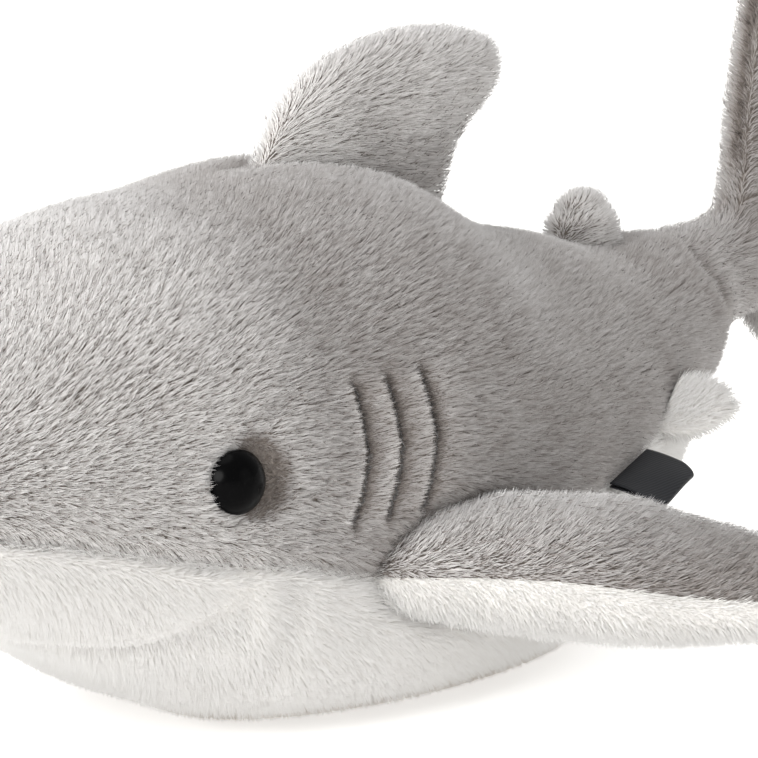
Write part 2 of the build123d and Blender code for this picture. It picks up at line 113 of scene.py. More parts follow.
def unit(v):
    return v / np.maximum(np.linalg.norm(v, axis=-1, keepdims=True), 1e-9)


def step(low, high, x):
    """0 on the low side, 1 on the high side and smooth between, also when high is the smaller number."""
    t = np.clip((x - low) / (high - low), 0, 1)
    return t * t * (3 - 2 * t)


def noise(p, size, seed=0):
    """Smooth random field from -1 to 1 with lumps about this many millimetres across."""
    q = p / size + seed * 17.31
    base = np.floor(q).astype(np.int64)
    f = q - base
    f = f * f * (3 - 2 * f)
    total = np.zeros(p.shape[:-1])
    for corner in range(8):
        shift = np.array([(corner >> k) & 1 for k in range(3)])
        c = base + shift
        h = (c[..., 0] * 73856093) ^ (c[..., 1] * 19349663) ^ (c[..., 2] * 83492791) ^ (seed * 2654435761)
        h = (h ^ (h >> 13)) * 1274126177
        value = ((h ^ (h >> 16)) & 0xFFFF) / 32767.5 - 1
        weight = np.prod(np.where(shift == 1, f, 1 - f), axis=-1)
        total += weight * value
    return total


# ---- materials
def material(name):
    mat = bpy.data.materials.new(name)
    mat.use_nodes = True
    return mat, mat.node_tree.nodes, mat.node_tree.links, mat.node_tree.nodes["Principled BSDF"]


def set_inputs(node, values):
    for name, value in values.items():
        node.inputs[name].default_value = value


def ramp_node(tree_nodes, stops):
    ramp = tree_nodes.new("ShaderNodeValToRGB")
    elements = ramp.color_ramp.elements
    while len(elements) > 1:
        elements.remove(elements[0])
    elements[0].position = stops[0][0]
    elements[0].color = (*stops[0][1], 1)
    for position, colour in stops[1:]:
        elements.new(position).color = (*colour, 1)
    return ramp


def tint(tree_nodes, links, shader, texture, stops):
    """The shader's colour from a texture, through a ramp."""
    colour = ramp_node(tree_nodes, stops)
    links.new(texture.outputs["Fac"], colour.inputs["Fac"])
    links.new(colour.outputs["Color"], shader.inputs["Base Color"])


def roughen(tree_nodes, links, shader, texture, strength, distance):
    bump = tree_nodes.new("ShaderNodeBump")
    set_inputs(bump, {"Strength": strength, "Distance": distance})
    links.new(texture.outputs["Fac"], bump.inputs["Height"])
    links.new(bump.outputs["Normal"], shader.inputs["Normal"])


def pile_material(name, tones, root_shade, sheen):
    """Pile strands: U picks the strand's tone, V runs from root to tip."""
    mat, n, links, shader = material(name)
    uv = n.new("ShaderNodeUVMap")
    uv.uv_map = "OFBake"
    split = n.new("ShaderNodeSeparateXYZ")
    links.new(uv.outputs["UV"], split.inputs[0])
    tone = ramp_node(n, tones)
    links.new(split.outputs["X"], tone.inputs["Fac"])
    shade = ramp_node(n, root_shade)
    links.new(split.outputs["Y"], shade.inputs["Fac"])
    mix = n.new("ShaderNodeMix")
    mix.data_type = "RGBA"
    mix.blend_type = "MULTIPLY"
    mix.inputs["Factor"].default_value = 1.0
    links.new(tone.outputs["Color"], mix.inputs["A"])
    links.new(shade.outputs["Color"], mix.inputs["B"])
    links.new(mix.outputs["Result"], shader.inputs["Base Color"])
    set_inputs(shader, {"Roughness": 0.75, "Specular IOR Level": 0.25})
    set_inputs(shader, {"Sheen Weight": sheen, "Sheen Roughness": 0.5})
    return mat


def cloth_material(name, dark, light, sheen):
    """The knitted backing under the pile: mottled, with a fine knit."""
    mat, n, links, shader = material(name)
    place = n.new("ShaderNodeTexCoord")
    mottle = n.new("ShaderNodeTexNoise")
    set_inputs(mottle, {"Scale": 900, "Detail": 4})
    links.new(place.outputs["Object"], mottle.inputs["Vector"])
    tint(n, links, shader, mottle, [(0.3, dark), (0.7, light)])
    roughen(n, links, shader, mottle, 0.5, 0.0004)
    set_inputs(shader, {"Roughness": 0.95, "Sheen Weight": sheen})
    return mat


# The grey pile's low tones serve the pile's dark fibres and also painted shade in the gill slits, the fin
# creases and the eye sockets
GREY_PILE = pile_material("grey_pile", [
    (0.0, (0.016, 0.013, 0.011)),
    (0.06, (0.085, 0.068, 0.060)),
    (0.3, (0.30, 0.272, 0.255)),
    (0.6, (0.48, 0.462, 0.454)),
    (1.0, (0.81, 0.795, 0.785)),
], [(0.0, (0.50, 0.47, 0.45)), (0.45, (0.86, 0.85, 0.84)), (0.8, (1, 1, 1)), (1.0, (1, 1, 1))], 0.35)
# The white pile's brown low tones are for painted shade: the contact shadow by the floor and the creases
# round the pelvic fins
WHITE_PILE = pile_material("white_pile", [
    (0.0, (0.16, 0.12, 0.08)),
    (0.12, (0.42, 0.36, 0.29)),
    (0.35, (0.71, 0.692, 0.668)),
    (1.0, (0.82, 0.812, 0.797)),
], [(0.0, (0.86, 0.845, 0.82)), (0.45, (0.97, 0.965, 0.96)), (0.8, (1, 1, 1)), (1.0, (1, 1, 1))], 0.25)
GREY_CLOTH = cloth_material("grey_cloth", (0.10, 0.082, 0.070), (0.18, 0.158, 0.140), 0.1)
WHITE_CLOTH = cloth_material("white_cloth", (0.68, 0.66, 0.63), (0.84, 0.825, 0.80), 0.2)


# ---- meshes
def make_mesh(name, points, faces, smooth=True, uv=None):
    """A mesh object from millimetre points and an array of equal-sided faces."""
    mesh = bpy.data.meshes.new(name)
    faces = np.asarray(faces, np.int32)
    mesh.vertices.add(len(points))
    mesh.vertices.foreach_set("co", (np.asarray(points) * MM).astype(np.float32).ravel())
    sides = faces.shape[1]
    mesh.loops.add(faces.size)
    mesh.loops.foreach_set("vertex_index", faces.ravel())
    mesh.polygons.add(len(faces))
    mesh.polygons.foreach_set("loop_start", np.arange(0, faces.size, sides, dtype=np.int32))
    mesh.polygons.foreach_set("use_smooth", np.full(len(faces), smooth))
    if uv is not None:
        layer = mesh.uv_layers.new(name="OFBake")
        layer.data.foreach_set("uv", uv[faces.ravel()].astype(np.float32).ravel())
    mesh.update(calc_edges=True)
    obj = bpy.data.objects.new(name, mesh)
    bpy.context.scene.collection.objects.link(obj)
    return obj


def thicken(obj, thickness, offset):
    solid = obj.modifiers.new("thickness", "SOLIDIFY")
    solid.thickness = thickness * MM
    solid.offset = offset
    bpy.context.view_layer.objects.active = obj
    bpy.ops.object.modifier_apply(modifier=solid.name)


def grid_faces(rows, columns):
    """Quads of a rows by columns sheet of points."""
    i = np.arange(rows - 1)[:, None] * columns + np.arange(columns - 1)[None, :]
    i = i.ravel()
    return np.stack([i, i + 1, i + columns + 1, i + columns], axis=1)


def triangles(faces):
    return np.concatenate([faces[:, [0, 1, 2]], faces[:, [0, 2, 3]]]) if faces.shape[1] == 4 else faces


def point_normals(points, faces):
    tri = triangles(faces)
    a, b, c = points[tri[:, 0]], points[tri[:, 1]], points[tri[:, 2]]
    face = np.cross(b - a, c - a)
    total = np.zeros_like(points)
    for k in range(3):
        np.add.at(total, tri[:, k], face)
    return unit(total)


class Skin:
    """A cloth surface: points and faces in millimetres with outward normals."""

    def __init__(self, name, points, faces, colour, outward=None):
        self.name = name
        self.points = points
        self.faces = faces
        self.colour = colour
        self.normals = point_normals(points, faces)
        if outward is not None and np.sum(self.normals * outward) < 0:
            self.faces = self.faces[:, ::-1].copy()
            self.normals = -self.normals

    def build(self, thickness=1.0):
        obj = make_mesh(self.name + "_cloth", self.points, self.faces)
        obj.data.materials.append(WHITE_CLOTH if self.colour == "white" else GREY_CLOTH)
        thicken(obj, thickness, -1)
        return obj


def scatter(skin, density):
    """Roots of the pile, spread evenly over a skin: points and normals."""
    tri = triangles(skin.faces)
    a, b, c = skin.points[tri[:, 0]], skin.points[tri[:, 1]], skin.points[tri[:, 2]]
    area = 0.5 * np.linalg.norm(np.cross(b - a, c - a), axis=1)
    count = int(area.sum() * density * DENSITY)
    edge = np.concatenate([[0], np.cumsum(area)])
    pick = (np.arange(count) + rng.random(count)) / count * edge[-1]
    t = np.clip(np.searchsorted(edge, pick, side="right") - 1, 0, len(tri) - 1)
    r1 = np.sqrt(rng.random(count))[:, None]
    r2 = rng.random(count)[:, None]
    w = (1 - r1, r1 * (1 - r2), r1 * r2)
    roots = w[0] * a[t] + w[1] * b[t] + w[2] * c[t]
    n = skin.normals
    normals = unit(w[0] * n[tri[t, 0]] + w[1] * n[tri[t, 1]] + w[2] * n[tri[t, 2]])
    return roots, normals


STRAND_FACES = np.array([(0, 1, 3), (1, 2, 3), (2, 0, 3)])
MOST_STRANDS = 65000
# LOCK is how wide a lock of pile is, and STREAK makes locks longer along the body than across it
STREAK = np.array([1.0, 0.72, 1.0])
LOCK = 0.95
ROOT_DEPTH = 0.4
DARK_LENGTH = 0.62
DARK_LIFT = 0.28
DARK_WIDTH = 0.8


def grow(skin, density, flow, length, tone, width=0.32, lift=56.0, fuzz=1.0, dark=0.03, black=None,
         keep=None, floor=None):
    """Pile on a skin: a fine cone for each strand. flow, length and tone take roots and normals. dark is
    the share of dark strands, and black says where their roots are black. Strands stay above floor."""
    roots, normals = scatter(skin, density)
    if keep is not None:
        wanted = keep(roots)
        roots, normals = roots[wanted], normals[wanted]
    order = np.argsort(roots[:, 1])
    roots, normals = roots[order], normals[order]
    count = len(roots)
    comb = flow(roots, normals)
    comb = unit(comb - normals * np.sum(comb * normals, axis=1, keepdims=True))
    side = unit(np.cross(normals, comb))
    long_way = roots * STREAK
    # Locks lean together, and the strands of a lock close up towards its ridge
    fuzz = fuzz(roots) if callable(fuzz) else fuzz
    swing = fuzz * (0.20 * noise(roots, 9.0, 2) + 0.18 * noise(roots, 26.0, 3)
                    + 0.18 * rng.standard_normal(count))
    ridge = noise(long_way, LOCK, 7)
    closer = (noise((roots + side * 0.3) * STREAK, LOCK, 7) - ridge) / 0.3
    is_dark = rng.random(count) < (dark(roots) if callable(dark) else dark)
    size = length(roots, normals) * (1 + 0.07 * ridge + 0.10 * rng.standard_normal(count))
    size = np.clip(size, 0.9, 9) * np.where(is_dark, DARK_LENGTH, 1.0)
    rise = (lift(roots) if callable(lift) else lift) + fuzz * (7 * ridge + 8 * rng.standard_normal(count))
    angle = np.radians(np.clip(np.where(is_dark, DARK_LIFT * rise, rise), 4, 86))
    lean = comb * np.cos(swing)[:, None] + side * np.sin(swing)[:, None]
    way = lean * np.cos(angle)[:, None] + normals * np.sin(angle)[:, None]
    # A dark strand starts within the pile and lies flatter, so that it isn't hidden by the others
    within = 0.66 * size * math.sin(math.radians(55)) / DARK_LENGTH
    start = roots + normals * np.where(is_dark, within, -ROOT_DEPTH)[:, None]
    tip = start + way * size[:, None] + side * (0.7 * fuzz * closer.clip(-0.8, 0.8))[:, None]
    radius = 0.5 * width * (1 + 0.2 * rng.standard_normal(count)).clip(0.5, 1.5)
    radius *= np.where(is_dark, DARK_WIDTH, 1.0)
    first = unit(np.cross(way, normals + 0.01))
    second = np.cross(way, first)
    turn = rng.random(count) * 2 * math.pi
    points = np.empty((count, 4, 3))
    facing = np.empty((count, 4, 3))
    for k in range(3):
        spoke = turn + k * 2 * math.pi / 3
        ring_way = first * np.cos(spoke)[:, None] + second * np.sin(spoke)[:, None]
        points[:, k] = start + ring_way * radius[:, None]
        facing[:, k] = unit(normals + 0.45 * ring_way)
    points[:, 3] = tip
    facing[:, 3] = unit(normals + 0.25 * way)
    if floor is not None:
        points[..., 2] = np.maximum(points[..., 2], floor + 0.25 * rng.random((count, 1)))
    shade = (tone(roots, normals) + 0.13 * ridge + 0.05 * noise(long_way, 3.0, 6)
             + 0.06 * rng.standard_normal(count))
    shade = shade.clip(0.02, 0.98)
    uv = np.empty((count, 4, 2))
    uv[..., 0] = shade[:, None] + np.array([-0.01, 0.01, 0.0, 0.0])[None, :]
    root_tone = 0.07 + 0.15 * rng.random(count)
    if black is not None:
        root_tone *= 1 - black(roots)
    uv[is_dark, :3, 0] = root_tone[is_dark, None] + np.array([0.0, 0.01, 0.005])[None, :]
    uv[is_dark, 3, 0] *= 0.75
    uv[..., 1] = np.array([0.02, 0.02, 0.02, 0.98])[None, :]
    made = []
    chunks = max(1, math.ceil(count / MOST_STRANDS))
    for k in range(chunks):
        a, b = count * k // chunks, count * (k + 1) // chunks
        faces = (STRAND_FACES[None] + 4 * np.arange(b - a)[:, None, None]).reshape(-1, 3)
        name = skin.name + "_pile" + ("_" + str(k + 1) if chunks > 1 else "")
        obj = make_mesh(name, points[a:b].reshape(-1, 3), faces, True, uv[a:b].reshape(-1, 2))
        layer = obj.data.attributes.new("custom_normal", "FLOAT_VECTOR", "POINT")
        layer.data.foreach_set("vector", facing[a:b].astype(np.float32).ravel())
        obj.data.materials.append(WHITE_PILE if skin.colour == "white" else GREY_PILE)
        made.append(obj)
    return made


# ---- the body's cloth
# How far under the CAD model's surface the cloth lies, which leaves room for the pile
SKIN_INSET = 2.4
LOWEST_CLOTH = 0.5
BODY_MIDDLE = 66.0
GILL_TUCK = 10.5


def ring(y, rows, turn):
    """Points on the body at stations y (n) and angles turn (n, m)."""
    w, bottom, top, widest, power = (rows[:, k][:, None] for k in range(5))
    middle = bottom + widest * (top - bottom)
    c, s = np.cos(turn), np.sin(turn)
    p = np.where(s > 0, UPPER_POWER, power)
    reach = np.where(s > 0, top - middle, middle - bottom)
    x = w * np.sign(c) * np.abs(c) ** (2 / p)
    z = middle + reach * np.sign(s) * np.abs(s) ** (2 / p)
    return np.stack([x, np.broadcast_to(y[:, None], x.shape), z], axis=-1)


def even_arc(y, rows, start, end, columns):
    """The body's outline from one angle to another at each station, in equal steps along it."""
    dense = 400
    turn = start[:, None] + (end - start)[:, None] * np.linspace(0, 1, dense)[None, :]
    line = ring(y, rows, turn)
    steps = np.linalg.norm(np.diff(line, axis=1), axis=2)
    gone = np.concatenate([np.zeros((len(y), 1)), np.cumsum(steps, axis=1)], axis=1)
    out = np.empty((len(y), columns, 3))
    for i in range(len(y)):
        want = np.linspace(0, gone[i, -1], columns)
        for k in range(3):
            out[i, :, k] = np.interp(want, gone[i], line[i, :, k])
    return out


def gill_offsets(p):
    """How far behind each gill slit a point lies, and how strongly that slit is there."""
    result = []
    for station in GILL_STATIONS:
        line = station + np.interp(p[..., 2], GILL_BOW[:, 0], GILL_BOW[:, 1])
        here = step(54, 60, p[..., 2]) * (1 - step(86, 93, p[..., 2])) * step(35, 45, np.abs(p[..., 0]))
        result.append((p[..., 1] - line, here))
    return result


def near_mouth(p):
    return np.abs(p[..., 1] - MOUTH_STATION) < MOUTH_REACH


def mouth_distance(p):
    """Distance from the mouth tuck, seen from below, and negative in front of it."""
    flat = np.stack([np.abs(p[..., 0]), p[..., 1]], axis=-1)
    t = np.linspace(0, 1, 60)
    curve = np.stack([np.interp(t * 6, np.arange(7), MOUTH_CURVE[:, k]) for k in range(2)], axis=-1)
    gap = np.linalg.norm(flat[..., None, :] - curve, axis=-1)
    nearest = np.argmin(gap, axis=-1)
    ahead = flat[..., 1] - curve[nearest, 1]
    return np.min(gap, axis=-1) * np.sign(ahead + 1e-9)


def seam_height(y):
    return monotone(y, SIDE_SEAM)[..., 0]


def eye_reach(p, behind=0.0):
    """Distance from the middle of the nearer eye, or from a point behind it."""
    gap = np.stack([np.abs(p[..., 0]) - EYE_AT[0], p[..., 1] - EYE_AT[1] - behind,
                    p[..., 2] - EYE_AT[2]], axis=-1)
    return np.linalg.norm(gap, axis=-1)


def eye_socket(p):
    """1 in the brown crescent behind an eye, which is painted shade in the socket, and 0 elsewhere."""
    return np.exp(-(eye_reach(p, 5.6) / 10.2) ** 8) * step(-110, -105, p[..., 1])


def fin_root(p):
    """Distance on the body from the edge of the pectoral fin's root."""
    e = np.sqrt(((p[..., 1] + 38) / 28.5) ** 2 + ((p[..., 2] - 42) / 14.0) ** 2)
    return (e - 1) * 14 + 40 * (np.abs(p[..., 0]) < 45)


def behind_tail_ring(p):
    """How far behind the sewn ring, where the tail's pile begins, a point of the body lies."""
    ring_y = np.interp(p[..., 2], TAIL_RING[:, 0], TAIL_RING[:, 1])
    return p[..., 1] - ring_y


# The middle, the direction and half the length of the line along which a pelvic fin is sewn on
PELVIC_AT = np.array([45.3911, 80.1211, 57.1886])
PELVIC_ALONG = unit(np.array([-0.30, 0.84, 0.44]))
PELVIC_HALF = 12.5


def pelvic_root(p):
    """Distance from the line along which a pelvic fin is sewn on."""
    gap = np.stack([np.abs(p[..., 0]), p[..., 1], p[..., 2]], axis=-1) - PELVIC_AT
    along = np.clip(gap @ PELVIC_ALONG, -PELVIC_HALF, PELVIC_HALF)
    return np.linalg.norm(gap - along[..., None] * PELVIC_ALONG, axis=-1)


def dorsal_root(p):
    """Distance on the body from the edge of the dorsal fin's root."""
    e = np.sqrt(((p[..., 1] + 8) / 37) ** 2 + (p[..., 0] / 7.5) ** 2)
    return (e - 1) * 7.5 + 60 * (p[..., 2] < 100)


def sculpt(p):
    """How far the body's cloth stands out from the plain shape."""
    out = np.full(p.shape[:-1], -SKIN_INSET)
    outline = monotone(p[..., 1], BODY_SECTIONS)
    centre = outline[..., 1] + outline[..., 3] * (outline[..., 2] - outline[..., 1])
    high = np.clip((p[..., 2] - centre) / (outline[..., 2] - centre), 0, 1) ** 2
    low = np.clip((centre - p[..., 2]) / (centre - outline[..., 1]), 0, 1) ** 2
    # The back is lower at the nape and behind the dorsal fin, and the throat is higher
    nape = np.exp(-((p[..., 1] + 78) / 24) ** 2)
    loin = step(-12, 26, p[..., 1]) * (1 - 0.5 * step(36, 66, p[..., 1])) * (1 - step(85, 120, p[..., 1]))
    out -= high * (3.4 * nape + 6.0 * loin)
    out += low * -4.5 * step(-70, -150, p[..., 1])
    out += 0.7 * noise(p, 38, 21) + 0.45 * noise(p, 15, 22)
    for gap, here in gill_offsets(p):
        share = np.clip(gap / GILL_TUCK, 0, 1)
        out += here * np.where(gap > 0, -1.5 * (1 - share) ** 1.5, 0) * (gap < GILL_TUCK)
        out += here * 0.5 * np.exp(-((gap + 1.5) / 2.2) ** 2) * (gap < 0.2)
    seam = p[..., 2] - seam_height(p[..., 1])
    out += -1.5 * np.exp(-(seam / 2.2) ** 2) * (p[..., 1] < 128)
    # The mouth: a tuck with a lip in front of it, and a fold behind each corner
    gap = mouth_distance(p)
    chin = (seam < -3) & near_mouth(p)
    out += np.where(chin, -1.6 * np.exp(-(gap / 3.0) ** 2) + 0.8 * np.exp(-((gap + 7.5) / 5.0) ** 2), 0)
    out += np.where(chin, -1.0 * np.exp(-((gap - 13) / 4.0) ** 2) * step(34, 46, np.abs(p[..., 0])), 0)
    # The eye pulls the cloth in, with a crease above and behind it
    out += -2.2 * np.exp(-(eye_reach(p, 2.5) / 9.5) ** 4)
    crease = (p[..., 2] - 86 - 0.8 * (p[..., 1] + 98)) / 1.3
    brow = np.exp(-((p[..., 1] + 95) / 9) ** 2) * (np.abs(p[..., 0]) > 35)
    out += -0.9 * np.exp(-(crease / 2.5) ** 2) * brow
    # Where the tail and the fins are sewn on
    out += -1.2 * np.exp(-(behind_tail_ring(p) / 1.8) ** 2) - 3.5 * step(0.5, 6, behind_tail_ring(p))
    out += -2.4 * np.exp(-(fin_root(p) / 2.6) ** 2)
    out += -2.0 * np.exp(-(dorsal_root(p) / 2.2) ** 2)
    return out


# Close together where the gills are, and on the rest of the body further apart
stations = np.concatenate([
    [-212, -211.4, -210, -208, -205.5], np.arange(-203, -140, 3.0), np.arange(-140, -85, 1.6),
    np.arange(-85, -34, 0.85), np.arange(-34, 110, 2.6), np.arange(110, 140.1, 1.6),
])
rows = monotone(stations, BODY_SECTIONS)
middle = rows[:, 1] + rows[:, 3] * (rows[:, 2] - rows[:, 1])
rise = seam_height(stations) - middle
up_share = np.clip(rise / (rows[:, 2] - middle), 0, 1) ** (UPPER_POWER / 2)
down_share = np.clip(-rise / (middle - rows[:, 1]), 0, 1) ** (rows[:, 4] / 2)
seam_turn = np.where(rise > 0, np.arcsin(up_share), -np.arcsin(down_share))
quarter = np.full(len(stations), math.pi / 2)


def body_skin(name, start, end, columns, colour):
    """A panel of the body between two angles, sculpted and kept clear of the floor."""
    plain = even_arc(stations, rows, start, end, columns)
    faces = grid_faces(len(stations), columns)
    flat = plain.reshape(-1, 3)
    centre = np.stack([np.zeros(len(flat)), flat[:, 1], np.full(len(flat), BODY_MIDDLE)], axis=1)
    first = Skin(name, flat, faces, colour, flat - centre)
    moved = flat + first.normals * sculpt(flat)[:, None]
    moved[:, 2] = np.maximum(moved[:, 2], LOWEST_CLOTH)
    if colour == "white":
        edge = np.abs(flat[:, 0]) < 0.01
        moved[edge, 0] = 0
    return Skin(name, moved, first.faces, colour, first.normals)


back_left = body_skin("back_left", quarter, seam_turn, 110, "grey")
back_right = body_skin("back_right", math.pi - quarter, math.pi - seam_turn, 110, "grey")
belly = body_skin("belly", seam_turn, -math.pi - seam_turn, 170, "white")


# ---- fins
# Columns of a fin's sections
CENTRE = slice(0, 3)
CHORD = slice(3, 6)
HALF_CHORD = 6
HALF_THICK = 7
THICK = slice(8, 11)
CAP_ROWS = 5


def fin_surface(sections, rows_wanted, columns, inset, seam_lift=0.0):
    """A closed sleeve through oval sections, rounded off at the tip: points (rows, columns, 3). The half
    with the lower column numbers ends at the front edge, or seam_lift radians above it at the tip."""
    table = []
    reach = 0.0
    previous = None
    for centre, chord, half_chord, half_thick, thick in sections:
        centre = np.array(centre, float)
        if previous is not None:
            reach += np.linalg.norm(centre - previous)
        previous = centre
        table.append(np.concatenate([[reach], centre, unit(np.array(chord, float)), [half_chord, half_thick],
                                     unit(np.array(thick, float))]))
    v = monotone(np.linspace(0, reach, rows_wanted), np.array(table))
    last = v[-1]
    way = unit(v[-1, CENTRE] - v[-2, CENTRE])
    extra = []
    narrower = []
    for k in range(1, CAP_ROWS + 1):
        turn = k / CAP_ROWS * math.pi / 2
        one = last.copy()
        one[CENTRE] = last[CENTRE] + way * math.sin(turn) * last[HALF_THICK] * 0.9
        one[HALF_CHORD] = last[HALF_CHORD] * max(math.cos(turn), 0.02)
        one[HALF_THICK] = last[HALF_THICK] * max(math.cos(turn), 0.02)
        extra.append(one)
        narrower.append(max(math.cos(turn), 0.02))
    v = np.concatenate([v, np.array(extra)])
    scale = np.concatenate([np.ones(rows_wanted), narrower])
    seam = math.pi - seam_lift * np.clip(np.arange(len(v)) / rows_wanted, 0, 1)[:, None]
    share = np.linspace(0, 1, columns // 2 + 1)[None, :]
    turn = np.concatenate([share * seam, (seam + share * (2 * math.pi - seam))[:, 1:]], axis=1)[..., None]
    half_chord = np.maximum(v[:, HALF_CHORD] - inset * scale, 0.05)[:, None, None]
    half_thick = np.maximum(v[:, HALF_THICK] - inset * scale, 0.05)[:, None, None]
    return (v[:, None, CENTRE] + np.cos(turn) * half_chord * unit(v[:, None, CHORD])
            + np.sin(turn) * half_thick * unit(v[:, None, THICK]))


def between(front, rear, half_thick):
    """A section of an upright fin from its front edge to its rear edge, each given as y and z."""
    chord = (0, rear[0] - front[0], rear[1] - front[1])
    centre = (0, (front[0] + rear[0]) / 2, (front[1] + rear[1]) / 2)
    return (centre, chord, math.hypot(chord[1], chord[2]) / 2, half_thick, (1, 0, 0))


def mirrored(points):
    return points * np.array([-1, 1, 1])


def fin_skins(names, colours, grid, mirror=False, wrinkle=0.35):
    """Two cloth panels of a fin, cut along its edges."""
    rows_here, columns = grid.shape[:2]
    half = columns // 2
    made = {}
    for name, colour, a, b in ((names[0], colours[0], 0, half + 1), (names[1], colours[1], half, columns)):
        part = grid[:, a:b]
        flat = part.reshape(-1, 3)
        if mirror:
            flat = mirrored(flat)
        faces = grid_faces(rows_here, b - a)
        centre = np.repeat(grid.mean(axis=1), b - a, axis=0)
        if mirror:
            centre = mirrored(centre)
        first = Skin(name, flat, faces, colour, flat - centre)
        moved = flat + first.normals * (wrinkle * noise(flat, 11, 31))[:, None]
        made[name] = Skin(name, moved, first.faces, colour, first.normals)
    return made


DORSAL = [
    between((-46, 121), (27, 106), 7.0),
    between((-41, 130), (29, 113), 7.5),
    between((-31, 145), (33, 125), 9.3),
    between((-14, 154), (38.5, 132), 9.5),
    between((6, 158), (46, 137), 9.0),
    between((24, 158.5), (51, 142), 7.5),
    between((38, 156.5), (52.5, 147), 5.0),
    between((45, 154), (51.5, 150), 2.8),
]
REAR_FIN = [
    between((79, 91), (105.5, 87), 6.2),
    between((79.5, 96), (105.5, 93.5), 6.8),
    between((79.8, 100.2), (104.6, 98.8), 6.8),
    between((82.6, 103.0), (101.5, 102.2), 5.4),
]
UPRIGHT = (0, 0, 1)
# Middle, chord, half chord, half thickness and which way it is thick
PECTORAL = [
    ((56, -41, 42.5), (0, 1, 0), 28.5, 13.0, UPRIGHT),
    ((65, -36, 42), (-1, 30, 0), 27.5, 14.5, UPRIGHT),
    ((76.5, -27, 41), (-3, 49.5, 0), 26.5, 16.5, UPRIGHT),
    ((90, -16, 39.5), (-8, 53.5, 0), 27.0, 17.2, UPRIGHT),
    ((103.5, -5.5, 37), (-7, 53, 0), 27.0, 14.8, UPRIGHT),
    ((116.5, 5, 34.6), (-5, 48, 0), 24.5, 11.4, UPRIGHT),
    ((129, 12.5, 33.5), (-4, 41.5, 0), 21.0, 9.4, UPRIGHT),
    ((138, 19.0, 33), (-4, 29, 0), 15.0, 7.2, UPRIGHT),
    ((144, 24, 32.5), (-2.5, 14, 0), 7.0, 3.8, UPRIGHT),
]
PELVIC_SPAN = unit(np.array([0.5, 0.85, -0.15]))
PELVIC_THICK = -np.cross(PELVIC_ALONG, PELVIC_SPAN)
# Reach from the root, half chord and half thickness
PELVIC_SIZES = ((-7, 12.5, 3.8), (0.5, 12.3, 4.0), (4.0, 10.8, 4.3), (7.5, 7.6, 3.8), (10.0, 3.8, 2.3))
PELVIC = [(PELVIC_AT + PELVIC_SPAN * reach, PELVIC_ALONG, half_chord, half_thick, PELVIC_THICK)
          for reach, half_chord, half_thick in PELVIC_SIZES]

skins = {}
grid = fin_surface(DORSAL, 50, 97, 2.0)
skins.update(fin_skins(("dorsal_left", "dorsal_right"), ("grey", "grey"), grid))
grid = fin_surface(REAR_FIN, 16, 49, 1.2)
skins.update(fin_skins(("rear_fin_left", "rear_fin_right"), ("grey", "grey"), grid))
for side_name, flip in (("left", False), ("right", True)):
    grid = fin_surface(PECTORAL, 60, 97, 2.2, 0.45)
    names = ("pectoral_" + side_name + "_upper", "pectoral_" + side_name + "_lower")
    skins.update(fin_skins(names, ("grey", "white"), grid, flip, 0.7))
    grid = fin_surface(PELVIC, 18, 49, 1.4)
    names = ("pelvic_" + side_name + "_upper", "pelvic_" + side_name + "_lower")
    skins.update(fin_skins(names, ("white", "white"), grid, flip))

# The tail: its tube and lobes are grown together, then cut into two panels
TAIL_VOXEL = 0.0016
# Station, half width, bottom and top of the tube
TUBE_SIZES = (
    (117, 22, 48, 90), (124, 23, 45.5, 91), (130, 21.3, 48.5, 91.5), (136, 18.2, 53, 92),
    (142, 15.2, 58, 92.5), (150, 13, 62.5, 93), (162, 12.5, 64.5, 95), (176, 11.5, 66, 98),
)
TAIL_TUBE = [((0, y, (low + high) / 2), (0, 0, 1), (high - low) / 2, half, (1, 0, 0))
             for y, half, low, high in TUBE_SIZES]
TAIL_UPPER = [
    between((150, 82), (190, 76), 10.5),
    between((159, 101), (192, 98), 10.0),
    between((162, 122), (193, 120), 9.0),
    between((166, 146), (194, 142), 8.0),
    between((173, 165), (196, 160), 6.5),
    between((182, 178), (198, 172), 4.5),
    between((190, 184), (199, 180), 2.0),
]
TAIL_LOWER = [
    between((156, 80), (190, 84), 10.5),
    between((170, 62), (198, 78), 9.0),
    between((182, 50), (204, 66), 7.5),
    between((194, 40), (209, 52), 5.5),
    between((203, 34), (212, 42), 3.0),
]
lumps = []
for part in (TAIL_TUBE, TAIL_UPPER, TAIL_LOWER):
    grid = fin_surface(part, 36, 49, 2.0)
    rows_here, columns = grid.shape[:2]
    flat = grid.reshape(-1, 3)
    centre = np.repeat(grid.mean(axis=1), columns, axis=0)
    lump = Skin("lump", flat, grid_faces(rows_here, columns), "grey", flat - centre)
    start = len(lump.points)
    cap = grid[0].mean(axis=0)[None]
    ring_index = np.arange(columns - 1)
    fan = np.stack([ring_index, ring_index + 1, np.full(columns - 1, start)], axis=1)
    lumps.append((np.concatenate([lump.points, cap]), lump.faces, fan))
tail_points = np.concatenate([p for p, f, g in lumps])
offsets = np.cumsum([0] + [len(p) for p, f, g in lumps])
tail_faces = np.concatenate([np.concatenate([triangles(f), g]) + o for (p, f, g), o in zip(lumps, offsets)])
tail_blank = make_mesh("tail_blank", tail_points, tail_faces)
remesh = tail_blank.modifiers.new("join", "REMESH")
remesh.mode = "VOXEL"
remesh.voxel_size = TAIL_VOXEL
soften = tail_blank.modifiers.new("soften", "SMOOTH")
soften.iterations = 8
soften.factor = 0.5
bpy.context.view_layer.update()
tail_mesh = tail_blank.evaluated_get(bpy.context.evaluated_depsgraph_get()).to_mesh()
tail_mesh.calc_loop_triangles()
points = np.array([v.co for v in tail_mesh.vertices], float) / MM
tri = np.array([t.vertices for t in tail_mesh.loop_triangles], np.int32)
bpy.data.objects.remove(tail_blank)
tail_normals = point_normals(points, tri)
if np.sum(tail_normals * (points - points.mean(axis=0))) < 0:
    tri = tri[:, ::-1].copy()
    tail_normals = -tail_normals
